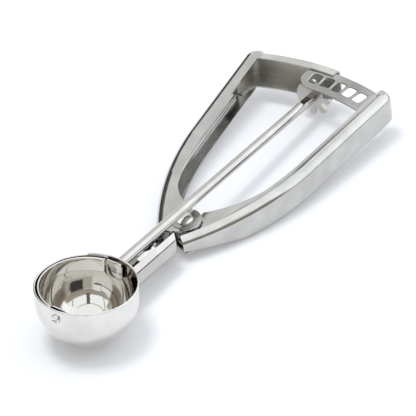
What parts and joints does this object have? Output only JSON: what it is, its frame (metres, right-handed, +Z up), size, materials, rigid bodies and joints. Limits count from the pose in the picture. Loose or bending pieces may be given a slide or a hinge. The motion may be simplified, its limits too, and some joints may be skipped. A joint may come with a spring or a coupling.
{
  "type": "lever ice cream scoop",
  "caption": "Squeeze-handle ice cream scoop in stainless steel: round bowl with a sweeping scraper blade, turned by a rack and pinion between two spring-loaded handles.",
  "frame": {"origin": "bottom centre of the bounding box, on the table the scoop lies on", "axes": "+X along the scoop from the bowl to the handles' ends, level; +Y towards the fixed handle; +Z up, out of the bowl's mouth"},
  "size_m": [0.2458, 0.0872, 0.0336],
  "materials": {
    "polished_steel": "mirror polished",
    "brushed_steel": "bright stamped",
    "spring_wire": "drawn wire"
  },
  "bodies": {
    "frame": {"bowl": "polished_steel", "bowl_saddle": "polished_steel", "shank": "polished_steel", "bowl_bearing": "brushed_steel", "front_pin": "polished_steel", "fixed_handle": "polished_steel", "guide_channel": "brushed_steel", "pivot_rivet": "polished_steel", "head_washer": "brushed_steel", "tail_washer": "brushed_steel", "upper_spacer": "brushed_steel", "lower_shim": "brushed_steel", "spring_bush": "brushed_steel", "torsion_spring": "spring_wire"},
    "squeeze_handle": {"moving_handle": "polished_steel", "rack": "brushed_steel"},
    "scraper": {"rod": "polished_steel", "pinion": "brushed_steel", "scraper_blade": "polished_steel"}
  },
  "joints": [
    {"name": "handle_squeeze", "type": "hinge", "parent": "frame", "child": "squeeze_handle", "pos_m": [-0.01317, 0, 0.01664], "axis": [-0.0888, 0, 0.9961], "range_deg": [0, 10.9], "stiffness_Nm_per_rad": 0.6, "springref_deg": -20.05, "deforming": ["torsion_spring"]},
    {"name": "rod_spin", "type": "hinge", "parent": "frame", "child": "scraper", "pos_m": [-0.09609, 0, 0.027], "axis": [0.9981, 0, -0.0619], "range_deg": [-147.6, 0.5]}
  ],
  "couplings": [
    {"joint": "rod_spin", "follows": "handle_squeeze", "ratio": -13.497}
  ]
}
